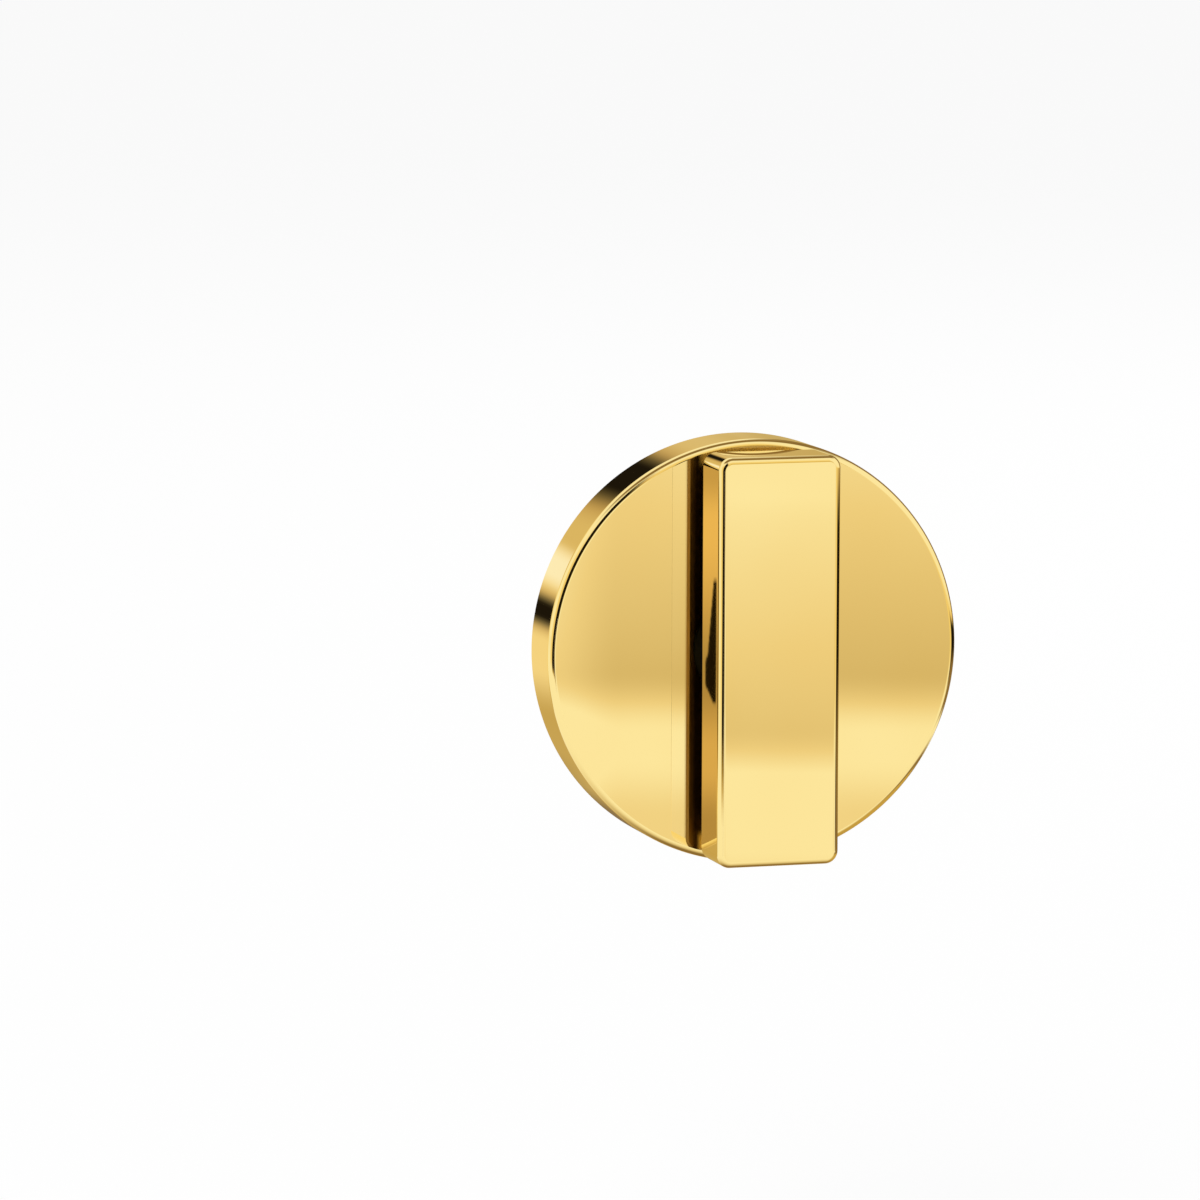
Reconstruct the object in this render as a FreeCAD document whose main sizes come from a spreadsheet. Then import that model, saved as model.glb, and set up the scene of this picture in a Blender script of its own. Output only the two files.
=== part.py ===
"""Bathroom thumb turn: a round rose with a flat turn bar, its retaining stack, fixing plate and spindle.

Each piece is drawn lying on the door: its Z runs out of the door along the spindle, its Y is up, and Z = 0
is the door's surface. ON_DOOR then stands the piece upright, so that the finished model has +Z up, the
door's surface in the plane Y = 0 and the turn facing -Y. Lengths are in millimetres, angles in degrees.
"""
import FreeCAD, Part
import os
import re

import Sketcher

SIZES = {
    # rose cover: a turned cup
    "rose_radius": 26.0,
    "rose_depth": 8.0,
    "rose_face_wall": 2.0,
    "rose_side_wall": 1.5,
    "rose_edge_round": 0.85,
    # turn bar
    "bar_width": 15.3,
    "bar_length": 49.8,
    "bar_depth": 7.3,
    "bar_gap": 3.0,
    "bar_corner_round": 1.6,
    "bar_front_round": 0.8,
    "bar_back_chamfer": 0.3,
    # neck behind the bar
    "neck_radius": 5.5,
    "neck_behind_door": 3.2,
    "neck_flat_depth": 1.0,
    "neck_end_chamfer": 0.4,
    # bush that the neck turns in
    "bush_wall": 1.1,
    "bush_collar_width": 0.25,
    "bush_seat_clearance": 0.05,
    "running_clearance": 0.05,
    "stack_play": 0.05,
    # retaining stack behind the rose face
    "washer_width": 2.6,
    "washer_thickness": 0.5,
    "washer_clearance": 0.3,
    "spring_width": 2.4,
    "spring_thickness": 0.4,
    "spring_rise": 0.35,
    "stop_width": 2.9,
    "stop_thickness": 1.0,
    "stop_key_clearance": 0.05,
    "stop_lug_reach": 3.4,
    "stop_lug_width": 3.2,
    "circlip_thickness": 1.0,
    "circlip_width": 1.9,
    "circlip_groove_depth": 0.45,
    "circlip_clearance": 0.05,
    "circlip_opening": 3.0,
    "circlip_ear_radius": 1.5,
    "circlip_ear_hole": 0.7,
    "circlip_ear_inset": 1.35,
    "circlip_ear_stand": 0.375,
    # fixing plate: a casting with rim, web and hub
    "plate_clearance": 0.2,
    "plate_web": 2.5,
    "plate_rim_wall": 2.2,
    "plate_headroom": 0.3,
    "hub_clearance": 0.7,
    "hub_wall": 4.0,
    "hub_headroom": 0.9,
    "stop_pocket_clearance": 0.5,
    "stop_pocket_play": 2.0,
    "turn_angle": 90.0,
    "bolt_spacing": 38.0,
    "bolt_hole_radius": 2.2,
    "bolt_lug_wall": 1.8,
    "bolt_lug_length": 6.0,
    # countersunk wood screws on one diagonal of the plate
    "screw_circle": 18.2,
    "screw_bearing": 45.0,
    "screw_length": 16.0,
    "screw_point": 4.0,
    "screw_tip_radius": 0.2,
    "screw_shank_radius": 1.75,
    "screw_head_radius": 3.3,
    "screw_head_land": 0.3,
    "screw_recess_reach": 1.9,
    "screw_recess_slot": 0.5,
    "screw_recess_depth": 1.4,
    "screw_clearance": 0.25,
    "screw_seat_clearance": 0.05,
    # socket set screws in the rim and in the neck
    "grub_radius": 1.5,
    "grub_point_chamfer": 0.5,
    "grub_socket_flats": 1.5,
    "grub_socket_depth": 1.2,
    "grub_thread_clearance": 0.05,
    "grub_sunk": 0.3,
    "rim_grub_from_face": 2.6,
    "rim_grub_bite": 1.2,
    "neck_grub_from_end": 2.4,
    # square spindle
    "spindle_side": 5.0,
    "spindle_behind_door": 60.0,
    "spindle_chamfer": 0.5,
    "spindle_clearance": 0.05,
    "socket_depth": 10.0,
}

# Levels along the spindle and radii round it, worked out from the sizes
DERIVED = {
    "inner_face": "rose_depth - rose_face_wall",
    "cup_radius": "rose_radius - rose_side_wall",
    "bar_back": "rose_depth + bar_gap",
    "bar_front": "bar_back + bar_depth",
    "neck_end": "0 - neck_behind_door",
    "bush_bore": "neck_radius + running_clearance",
    "bush_radius": "bush_bore + bush_wall",
    "bush_seat": "bush_radius + bush_seat_clearance",
    "collar_front": "bar_back - stack_play",
    "washer_bore": "neck_radius + washer_clearance",
    "washer_back": "inner_face - washer_thickness",
    "spring_front": "washer_back - stack_play",
    "stop_front": "spring_front - spring_rise - spring_thickness",
    "stop_back": "stop_front - stop_thickness",
    "stop_radius": "neck_radius + stop_width",
    "stop_reach": "stop_radius + stop_lug_reach",
    "flat_offset": "neck_radius - neck_flat_depth",
    "groove_front": "stop_back",
    "groove_back": "circlip_back - circlip_clearance",
    "groove_radius": "neck_radius - circlip_groove_depth",
    "circlip_back": "stop_back - circlip_clearance - circlip_thickness",
    "circlip_bore": "groove_radius + circlip_clearance",
    "circlip_radius": "circlip_bore + circlip_width",
    "ear_circle": "circlip_radius + circlip_ear_stand",
    "ear_offset": "circlip_opening / 2 + circlip_ear_inset",
    "ear_level": "0 - sqrt(ear_circle ^ 2 - ear_offset ^ 2)",
    "hub_bore": "max(ear_circle + circlip_ear_radius; stop_radius) + hub_clearance",
    "hub_radius": "stop_reach + stop_pocket_clearance + hub_wall / 2",
    "hub_top": "inner_face - hub_headroom",
    "plate_radius": "cup_radius - plate_clearance",
    "rim_bore": "plate_radius - plate_rim_wall",
    "rim_top": "inner_face - plate_headroom",
    "bolt_lug_radius": "bolt_hole_radius + bolt_lug_wall",
    "screw_hole_radius": "screw_shank_radius + screw_clearance",
    "screw_sink_radius": "screw_head_radius + screw_clearance",
    "screw_sink": "screw_sink_radius - screw_hole_radius",
    "screw_seat": "plate_web - screw_head_land",
    "screw_head_level": "plate_web - screw_seat_clearance",
    "screw_across": "screw_circle * cos(screw_bearing)",
    "screw_up": "screw_circle * sin(screw_bearing)",
    "grub_hole_radius": "grub_radius + grub_thread_clearance",
    "rim_grub_level": "inner_face - rim_grub_from_face",
    "rim_grub_outer": "rose_radius - grub_sunk",
    "rim_grub_inner": "plate_radius - rim_grub_bite",
    "neck_grub_level": "neck_end + neck_grub_from_end",
    "neck_grub_outer": "neck_radius - grub_sunk",
    "neck_grub_inner": "spindle_side / 2 + spindle_clearance",
    "socket_half": "spindle_side / 2 + spindle_clearance",
    "socket_end": "neck_end + socket_depth",
    "spindle_front": "socket_end - spindle_clearance",
}

# Two lengths closer than this count as equal
NEAR = 1e-4
ON_DOOR = FreeCAD.Placement(FreeCAD.Vector(), FreeCAD.Rotation(FreeCAD.Vector(1, 0, 0), 90))

doc = FreeCAD.newDocument("thumb_turn")
sheet = doc.addObject("Spreadsheet::Sheet", "Sizes")
for row, (alias, number) in enumerate(SIZES.items(), start=1):
    sheet.set(f"A{row}", alias)
    sheet.set(f"B{row}", str(number))
    sheet.setAlias(f"B{row}", alias)
doc.recompute()


def formula(text):
    """A cell expression: sizes become cells of the sheet, and derived words become their own formulas."""

    def spell_out(found):
        word = found[0]
        if word in DERIVED:
            return "(" + formula(DERIVED[word]) + ")"
        return "Sizes." + word if word in SIZES else word

    return re.sub(r"[a-z_]+", spell_out, text)


def amount(text):
    """The number that a formula comes to."""
    return float(sheet.evalExpression(formula(text)))


def settled(feature):
    """Recompute, and stop at a feature that failed."""
    doc.recompute()
    if "Invalid" in feature.State or "Error" in feature.State or feature.Shape.isNull():
        raise RuntimeError(f"{feature.Name} failed: {feature.State}")
    return feature


def new_body(name):
    body = doc.addObject("PartDesign::Body", name)
    body.Label = name
    body.Placement = ON_DOOR
    return body


def origin_part(body, role):
    return next(part for part in body.Origin.OriginFeatures if part.Role == role)


def new_sketch(body, name, plane, lift="0"):
    """A sketch on one of the body's own planes, lifted along that plane's normal."""
    sketch = body.newObject("Sketcher::SketchObject", name)
    sketch.AttachmentSupport = [(origin_part(body, plane), "")]
    sketch.MapMode = "FlatFace"
    sketch.setExpression("AttachmentOffset.Base.z", formula(lift))
    return sketch


def constrain(sketch, text, *constraint):
    number = sketch.addConstraint(Sketcher.Constraint(*constraint, amount(text)))
    sketch.setExpression(f"Constraints[{number}]", formula(text))


def tie(sketch, edge, point, place):
    """Hold one point of an edge at a place given by two formulas."""
    constrain(sketch, place[0], "DistanceX", -1, 1, edge, point)
    constrain(sketch, place[1], "DistanceY", -1, 1, edge, point)


def outline(sketch, corners):
    """A closed outline of straight edges, each corner given by two formulas."""
    places = [FreeCAD.Vector(amount(across), amount(up), 0) for across, up in corners]
    edges = [
        sketch.addGeometry(Part.LineSegment(start, end), False)
        for start, end in zip(places, places[1:] + places[:1])
    ]
    for number, edge in enumerate(edges):
        sketch.addConstraint(Sketcher.Constraint("Coincident", edges[number - 1], 2, edge, 1))
        tie(sketch, edge, 1, corners[number])


def rectangle(sketch, left, right, low, high):
    outline(sketch, [(left, low), (right, low), (right, high), (left, high)])


def circle(sketch, across, up, radius):
    centre = FreeCAD.Vector(amount(across), amount(up), 0)
    edge = sketch.addGeometry(Part.Circle(centre, FreeCAD.Vector(0, 0, 1), amount(radius)), False)
    tie(sketch, edge, 3, (across, up))
    constrain(sketch, radius, "Radius", edge)


def pad(body, name, sketch, length):
    feature = body.newObject("PartDesign::Pad", name)
    feature.Profile = sketch
    feature.setExpression("Length", formula(length))
    return settled(feature)


def pocket(body, name, sketch, length, reverse=True):
    """Cut along the sketch's normal, or against it, and make sure that something was cut."""
    before = body.Shape.Volume
    feature = body.newObject("PartDesign::Pocket", name)
    feature.Profile = sketch
    feature.Reversed = reverse
    feature.setExpression("Length", formula(length))
    settled(feature)
    if feature.Shape.Volume >= before:
        raise RuntimeError(f"{name} cuts nothing")
    return feature


def groove(body, name, sketch, axis, angle):
    """Cut a turned groove or hole, half of its angle to each side of the sketch."""
    before = body.Shape.Volume
    feature = body.newObject("PartDesign::Groove", name)
    feature.Profile = sketch
    feature.ReferenceAxis = axis
    feature.Midplane = True
    feature.setExpression("Angle", formula(angle))
    settled(feature)
    if feature.Shape.Volume >= before:
        raise RuntimeError(f"{name} cuts nothing")
    return feature


def turned(body, name, corners):
    """A turned piece: half its section, revolved round the spindle's axis."""
    sketch = new_sketch(body, name + "_section", "XZ_Plane")
    outline(sketch, corners)
    feature = body.newObject("PartDesign::Revolution", name)
    feature.Profile = sketch
    feature.ReferenceAxis = (origin_part(body, "Z_Axis"), [""])
    feature.Angle = 360
    return settled(feature)


def eased(body, kind, name, chosen, size):
    """A fillet or chamfer on those edges of the body for which chosen(edge) is true."""
    base = body.Tip
    edges = [f"Edge{number}" for number, edge in enumerate(base.Shape.Edges, start=1) if chosen(edge)]
    feature = body.newObject("PartDesign::" + kind, name)
    feature.Base = (base, edges)
    feature.setExpression("Radius" if kind == "Fillet" else "Size", formula(size))
    return settled(feature)


def lies_at(edge, level):
    """Does the whole edge lie in the plane at this level of the body's Z?"""
    box = edge.BoundBox
    return abs(box.ZMin - level) < NEAR and abs(box.ZMax - level) < NEAR


def is_ring(edge, level, radius):
    """Is the edge a circle of this radius at this level?"""
    return lies_at(edge, level) and hasattr(edge.Curve, "Radius") and abs(edge.Curve.Radius - radius) < NEAR


def make_rose_cover():
    """Turned brass cup, open to the door, bored for the bush and tapped in its underside."""
    body = new_body("rose_cover")
    turned(body, "cup", [
        ("bush_seat", "inner_face"),
        ("bush_seat", "rose_depth"),
        ("rose_radius", "rose_depth"),
        ("rose_radius", "0"),
        ("cup_radius", "0"),
        ("cup_radius", "inner_face"),
    ])
    front, rim = amount("rose_depth"), amount("rose_radius")
    eased(body, "Fillet", "front_edge", lambda edge: is_ring(edge, front, rim), "rose_edge_round")
    hole = new_sketch(body, "grub_hole_circle", "XZ_Plane")
    circle(hole, "0", "rim_grub_level", "grub_hole_radius")
    pocket(body, "grub_hole", hole, "rose_radius * 2")
    return body


def make_thumb_turn():
    """Flat bar with rounded edges and corners, in one piece with its grooved and flatted neck."""
    body = new_body("thumb_turn")
    plan = new_sketch(body, "bar_plan", "XY_Plane", "bar_back")
    rectangle(plan, "0 - bar_width / 2", "bar_width / 2", "0 - bar_length / 2", "bar_length / 2")
    pad(body, "bar", plan, "bar_depth")

    front, back = amount("bar_front"), amount("bar_back")
    eased(body, "Fillet", "corner_rounds",
          lambda edge: abs(edge.BoundBox.ZLength - (front - back)) < NEAR, "bar_corner_round")
    eased(body, "Fillet", "front_rounds", lambda edge: lies_at(edge, front), "bar_front_round")
    eased(body, "Chamfer", "back_edges", lambda edge: lies_at(edge, back), "bar_back_chamfer")

    turned(body, "neck", [
        ("0", "bar_back"),
        ("neck_radius", "bar_back"),
        ("neck_radius", "groove_front"),
        ("groove_radius", "groove_front"),
        ("groove_radius", "groove_back"),
        ("neck_radius", "groove_back"),
        ("neck_radius", "neck_end"),
        ("0", "neck_end"),
    ])
    end, neck = amount("neck_end"), amount("neck_radius")
    eased(body, "Chamfer", "neck_lead_in", lambda edge: is_ring(edge, end, neck), "neck_end_chamfer")

    flats = new_sketch(body, "flat_plan", "XY_Plane", "neck_end")
    rectangle(flats, "flat_offset", "neck_radius * 2", "0 - neck_radius * 2", "neck_radius * 2")
    rectangle(flats, "0 - neck_radius * 2", "0 - flat_offset", "0 - neck_radius * 2", "neck_radius * 2")
    pocket(body, "flats", flats, "stop_front - neck_end")

    square = new_sketch(body, "socket_plan", "XY_Plane", "neck_end")
    rectangle(square, "0 - socket_half", "socket_half", "0 - socket_half", "socket_half")
    pocket(body, "spindle_socket", square, "socket_depth")

    hole = new_sketch(body, "grub_hole_circle", "YZ_Plane")
    circle(hole, "0", "neck_grub_level", "grub_hole_radius")
    pocket(body, "grub_hole", hole, "neck_radius * 2")
    return body


def make_neck_bush():
    """Moulded bush pressed into the rose, with a collar that keeps the bar off the rose's face."""
    body = new_body("neck_bush")
    turned(body, "bush", [
        ("bush_bore", "inner_face + stack_play"),
        ("bush_bore", "collar_front"),
        ("bush_radius + bush_collar_width", "collar_front"),
        ("bush_radius + bush_collar_width", "rose_depth"),
        ("bush_radius", "rose_depth"),
        ("bush_radius", "inner_face + stack_play"),
    ])
    return body


def make_flat_washer():
    """Plain steel washer against the back of the rose's face."""
    body = new_body("flat_washer")
    turned(body, "ring", [
        ("washer_bore", "washer_back"),
        ("washer_bore", "inner_face"),
        ("washer_bore + washer_width", "inner_face"),
        ("washer_bore + washer_width", "washer_back"),
    ])
    return body


def make_disc_spring():
    """Conical spring washer, its inner edge towards the rose."""
    body = new_body("disc_spring")
    outer = "washer_bore + spring_width"
    turned(body, "cone", [
        ("washer_bore", "spring_front - spring_thickness"),
        ("washer_bore", "spring_front"),
        (outer, "spring_front - spring_rise"),
        (outer, "stop_front"),
    ])
    return body


def make_stop_plate():
    """Pressed plate keyed on the neck's two flats, with a lug that swings in the fixing plate's pocket."""
    body = new_body("stop_plate")
    disc = new_sketch(body, "disc_plan", "XY_Plane", "stop_back")
    circle(disc, "0", "0", "stop_radius")
    pad(body, "disc", disc, "stop_thickness")
    lug = new_sketch(body, "lug_plan", "XY_Plane", "stop_back")
    rectangle(lug, "0 - stop_reach", "0", "0 - stop_lug_width / 2", "stop_lug_width / 2")
    pad(body, "lug", lug, "stop_thickness")
    bore = new_sketch(body, "key_plan", "XY_Plane", "stop_back")
    half_key = amount("flat_offset + stop_key_clearance")
    round_key = amount("neck_radius + stop_key_clearance")
    rise = (round_key ** 2 - half_key ** 2) ** 0.5
    key_corners = [(half_key, -rise), (half_key, rise), (-half_key, rise), (-half_key, -rise)]
    corners = [FreeCAD.Vector(across, up, 0) for across, up in key_corners]
    right = bore.addGeometry(Part.LineSegment(corners[0], corners[1]), False)
    top = bore.addGeometry(Part.Arc(corners[1], FreeCAD.Vector(0, round_key, 0), corners[2]), False)
    left = bore.addGeometry(Part.LineSegment(corners[2], corners[3]), False)
    bottom = bore.addGeometry(Part.Arc(corners[3], FreeCAD.Vector(0, -round_key, 0), corners[0]), False)
    for flat, arc in ((right, top), (left, bottom)):
        bore.addConstraint(Sketcher.Constraint("Coincident", flat, 2, arc, 1))
        bore.addConstraint(Sketcher.Constraint("Vertical", flat))
    for arc, flat in ((top, left), (bottom, right)):
        bore.addConstraint(Sketcher.Constraint("Coincident", arc, 2, flat, 1))
        bore.addConstraint(Sketcher.Constraint("Coincident", arc, 3, -1, 1))
        constrain(bore, "neck_radius + stop_key_clearance", "Radius", arc)
    constrain(bore, "flat_offset + stop_key_clearance", "DistanceX", -1, 1, right, 1)
    constrain(bore, "0 - flat_offset - stop_key_clearance", "DistanceX", -1, 1, left, 1)
    pocket(body, "keyed_bore", bore, "stop_thickness")
    return body


def make_circlip():
    """External retaining ring with two drilled ears, open downwards."""
    body = new_body("circlip")
    ring = new_sketch(body, "ring_plan", "XY_Plane", "circlip_back")
    circle(ring, "0", "0", "circlip_bore")
    circle(ring, "0", "0", "circlip_radius")
    pad(body, "ring", ring, "circlip_thickness")
    for side, name in (("0 - ear_offset", "left"), ("ear_offset", "right")):
        ear = new_sketch(body, name + "_ear_plan", "XY_Plane", "circlip_back")
        circle(ear, side, "ear_level", "circlip_ear_radius")
        pad(body, name + "_ear", ear, "circlip_thickness")
    openings = new_sketch(body, "opening_plan", "XY_Plane", "circlip_back")
    rectangle(openings, "0 - circlip_opening / 2", "circlip_opening / 2", "0 - hub_bore", "0")
    circle(openings, "0 - ear_offset", "ear_level", "circlip_ear_hole")
    circle(openings, "ear_offset", "ear_level", "circlip_ear_hole")
    pocket(body, "openings", openings, "circlip_thickness")
    return body


def make_fixing_plate():
    """Cast plate with rim, web and hub, two lugs that enter the door, and an arc pocket for the stop."""
    body = new_body("fixing_plate")
    turned(body, "casting", [
        ("hub_bore", "0"),
        ("hub_bore", "hub_top"),
        ("hub_radius", "hub_top"),
        ("hub_radius", "plate_web"),
        ("rim_bore", "plate_web"),
        ("rim_bore", "rim_top"),
        ("plate_radius", "rim_top"),
        ("plate_radius", "0"),
    ])
    sides = {"left": "0 - bolt_spacing / 2", "right": "bolt_spacing / 2"}
    for name, side in sides.items():
        lug = new_sketch(body, name + "_lug_plan", "XY_Plane", "0 - bolt_lug_length")
        circle(lug, side, "0", "bolt_lug_radius")
        pad(body, name + "_lug", lug, "bolt_lug_length")
    bolt_holes = new_sketch(body, "bolt_hole_circles", "XY_Plane", "0 - bolt_lug_length")
    for side in sides.values():
        circle(bolt_holes, side, "0", "bolt_hole_radius")
    pocket(body, "bolt_holes", bolt_holes, "bolt_lug_length + plate_web")
    corners = (("screw_across", "screw_up", "upper"), ("0 - screw_across", "0 - screw_up", "lower"))
    for across, up, name in corners:
        section = new_sketch(body, name + "_hole_section", "XZ_Plane", f"0 - ({up})")
        section.setExpression("AttachmentOffset.Base.x", formula(across))
        outline(section, [
            ("0", "0"),
            ("screw_hole_radius", "0"),
            ("screw_hole_radius", "screw_seat - screw_sink"),
            ("screw_sink_radius", "screw_seat"),
            ("screw_sink_radius", "rose_depth"),
            ("0", "rose_depth"),
        ])
        groove(body, name + "_hole", section, (section, ["V_Axis"]), "360")

    arc = new_sketch(body, "stop_pocket_section", "XZ_Plane")
    facing = "180 - turn_angle / 2"
    towards = FreeCAD.Rotation(FreeCAD.Vector(0, 1, 0), amount(facing))
    arc.AttachmentOffset = FreeCAD.Placement(FreeCAD.Vector(), towards)
    arc.setExpression("AttachmentOffset.Rotation.Angle", formula(facing))
    rectangle(arc, "hub_bore - hub_clearance", "stop_reach + stop_pocket_clearance",
              "stop_back - stop_pocket_clearance", "rose_depth")
    lug_angle = "2 * asin(stop_lug_width / 2 / hub_bore)"
    groove(body, "stop_pocket", arc, (origin_part(body, "Z_Axis"), [""]),
           f"(turn_angle + 2 * stop_pocket_play) * 1 deg + {lug_angle}")

    dimple = new_sketch(body, "dimple_circle", "XZ_Plane", "rim_grub_inner - stack_play")
    circle(dimple, "0", "rim_grub_level", "grub_hole_radius")
    pocket(body, "grub_dimple", dimple, "plate_rim_wall * 2")
    return body


def quarter_turned(place, turns):
    """A place given by two formulas, turned by so many right angles round the origin."""
    for _ in range(turns):
        place = (f"0 - ({place[1]})", place[0])
    return place


def make_fixing_screws():
    """Two countersunk wood screws with cross recesses; the fine thread is not cut."""
    screws = []
    slot, reach = "screw_recess_slot / 2", "screw_recess_reach"
    quarter = [(reach, "0 - " + slot), (reach, slot), (slot, slot)]
    cross = [place for turn in range(4) for place in (quarter_turned(corner, turn) for corner in quarter)]
    for name, across, up in (
        ("upper_screw", "screw_across", "screw_up"),
        ("lower_screw", "0 - screw_across", "0 - screw_up"),
    ):
        body = new_body(name)
        neck = "0 - screw_head_land - screw_head_radius + screw_shank_radius"
        turned(body, name + "_shank", [
            ("0", "0"),
            ("screw_head_radius", "0"),
            ("screw_head_radius", "0 - screw_head_land"),
            ("screw_shank_radius", neck),
            ("screw_shank_radius", "screw_point - screw_length"),
            ("screw_tip_radius", "0 - screw_length"),
            ("0", "0 - screw_length"),
        ])
        recess = new_sketch(body, name + "_recess_plan", "XY_Plane")
        outline(recess, cross)
        pocket(body, name + "_recess", recess, "screw_recess_depth", reverse=False)
        body.setExpression("Placement.Base.x", formula(across))
        body.setExpression("Placement.Base.y", formula("0 - screw_head_level"))
        body.setExpression("Placement.Base.z", formula(up))
        screws.append(body)
    group = doc.addObject("Part::Compound", "fixing_screws")
    group.Label = "fixing_screws"
    group.Links = screws
    return settled(group)


def make_set_screw(name, length):
    """Socket set screw: its socket end at Z = 0, its chamfered point towards -Z."""
    body = new_body(name)
    plan = new_sketch(body, "shank_plan", "XY_Plane", f"0 - ({length})")
    circle(plan, "0", "0", "grub_radius")
    pad(body, "shank", plan, length)
    point, radius = amount(f"0 - ({length})"), amount("grub_radius")
    eased(body, "Chamfer", "point", lambda edge: is_ring(edge, point, radius), "grub_point_chamfer")
    hexagon = new_sketch(body, "socket_plan", "XY_Plane")
    corner = "grub_socket_flats / sqrt(3)"
    outline(hexagon, [
        (f"{corner} * cos({60 * side})", f"{corner} * sin({60 * side})") for side in range(6)
    ])
    pocket(body, "socket", hexagon, "grub_socket_depth", reverse=False)
    return body


def make_cover_set_screw():
    """The set screw in the rim's underside, biting into the fixing plate's dimple."""
    body = make_set_screw("cover_set_screw", "rim_grub_outer - rim_grub_inner")
    body.Placement = FreeCAD.Placement(FreeCAD.Vector(), FreeCAD.Rotation(FreeCAD.Vector(1, 0, 0), 180))
    body.setExpression("Placement.Base.y", formula("0 - rim_grub_level"))
    body.setExpression("Placement.Base.z", formula("0 - rim_grub_outer"))
    return settled(body)


def make_spindle_grub_screw():
    """The set screw in the neck, which bears on the spindle."""
    body = make_set_screw("spindle_grub_screw", "neck_grub_outer - neck_grub_inner")
    body.Placement = FreeCAD.Placement(FreeCAD.Vector(), FreeCAD.Rotation(FreeCAD.Vector(0, 1, 0), 90))
    body.setExpression("Placement.Base.x", formula("neck_grub_outer"))
    body.setExpression("Placement.Base.y", formula("0 - neck_grub_level"))
    return settled(body)


def make_spindle():
    """Square steel bar with chamfered ends, from the neck's socket through the door to the lock case."""
    body = new_body("spindle")
    plan = new_sketch(body, "square_plan", "XY_Plane", "0 - spindle_behind_door")
    rectangle(plan, "0 - spindle_side / 2", "spindle_side / 2", "0 - spindle_side / 2", "spindle_side / 2")
    pad(body, "square_bar", plan, "spindle_behind_door + spindle_front")
    ends = (amount("0 - spindle_behind_door"), amount("spindle_front"))
    eased(body, "Chamfer", "ends", lambda edge: any(lies_at(edge, end) for end in ends), "spindle_chamfer")
    return body


pieces = [
    make_rose_cover(),
    make_thumb_turn(),
    make_neck_bush(),
    make_flat_washer(),
    make_disc_spring(),
    make_stop_plate(),
    make_circlip(),
    make_fixing_plate(),
    make_fixing_screws(),
    make_cover_set_screw(),
    make_spindle(),
    make_spindle_grub_screw(),
]
doc.recompute()

for thing in doc.Objects:
    if "Invalid" in thing.State or "Error" in thing.State:
        raise RuntimeError(f"{thing.Name} failed: {thing.State}")
for piece in pieces:
    if piece.Shape.isNull() or not piece.Shape.isValid():
        raise RuntimeError(f"{piece.Label} has no valid shape")

os.makedirs("parts", exist_ok=True)
for piece in pieces:
    piece.Shape.exportStep(f"parts/{piece.Label}.step")
    print(f"{piece.Label}: {len(piece.Shape.Solids)} solids, {piece.Shape.Volume:.1f} mm3")
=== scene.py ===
import math

import bmesh
import bpy
from mathutils import Matrix, Vector


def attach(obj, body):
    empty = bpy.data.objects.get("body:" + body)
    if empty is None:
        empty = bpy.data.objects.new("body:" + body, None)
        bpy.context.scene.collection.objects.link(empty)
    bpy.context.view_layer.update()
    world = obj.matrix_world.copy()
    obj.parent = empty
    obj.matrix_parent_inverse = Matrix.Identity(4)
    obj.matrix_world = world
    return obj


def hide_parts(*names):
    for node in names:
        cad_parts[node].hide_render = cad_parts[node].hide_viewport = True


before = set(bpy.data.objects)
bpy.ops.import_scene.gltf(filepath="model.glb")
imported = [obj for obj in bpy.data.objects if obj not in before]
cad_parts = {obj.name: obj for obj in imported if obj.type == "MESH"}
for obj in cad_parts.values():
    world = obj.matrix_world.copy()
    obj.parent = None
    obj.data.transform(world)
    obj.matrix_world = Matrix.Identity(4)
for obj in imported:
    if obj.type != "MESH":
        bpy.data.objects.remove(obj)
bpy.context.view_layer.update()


# Fixing plate: the first piece on the door, a zinc pressure casting with a rim, a web and a hub, held by
# the bolts and by two wood screws. It keeps the grain of its die and the round marks of the ejector pins.
MM = 0.001
PIN_ACROSS = 6.8
PIN_UP = 18.0
PIN_RADIUS = 1.6
PIN_EDGE = 0.12
CLEAN_ZINC = (0.53, 0.57, 0.63, 1)
TARNISHED_ZINC = (0.45, 0.48, 0.53, 1)


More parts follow.
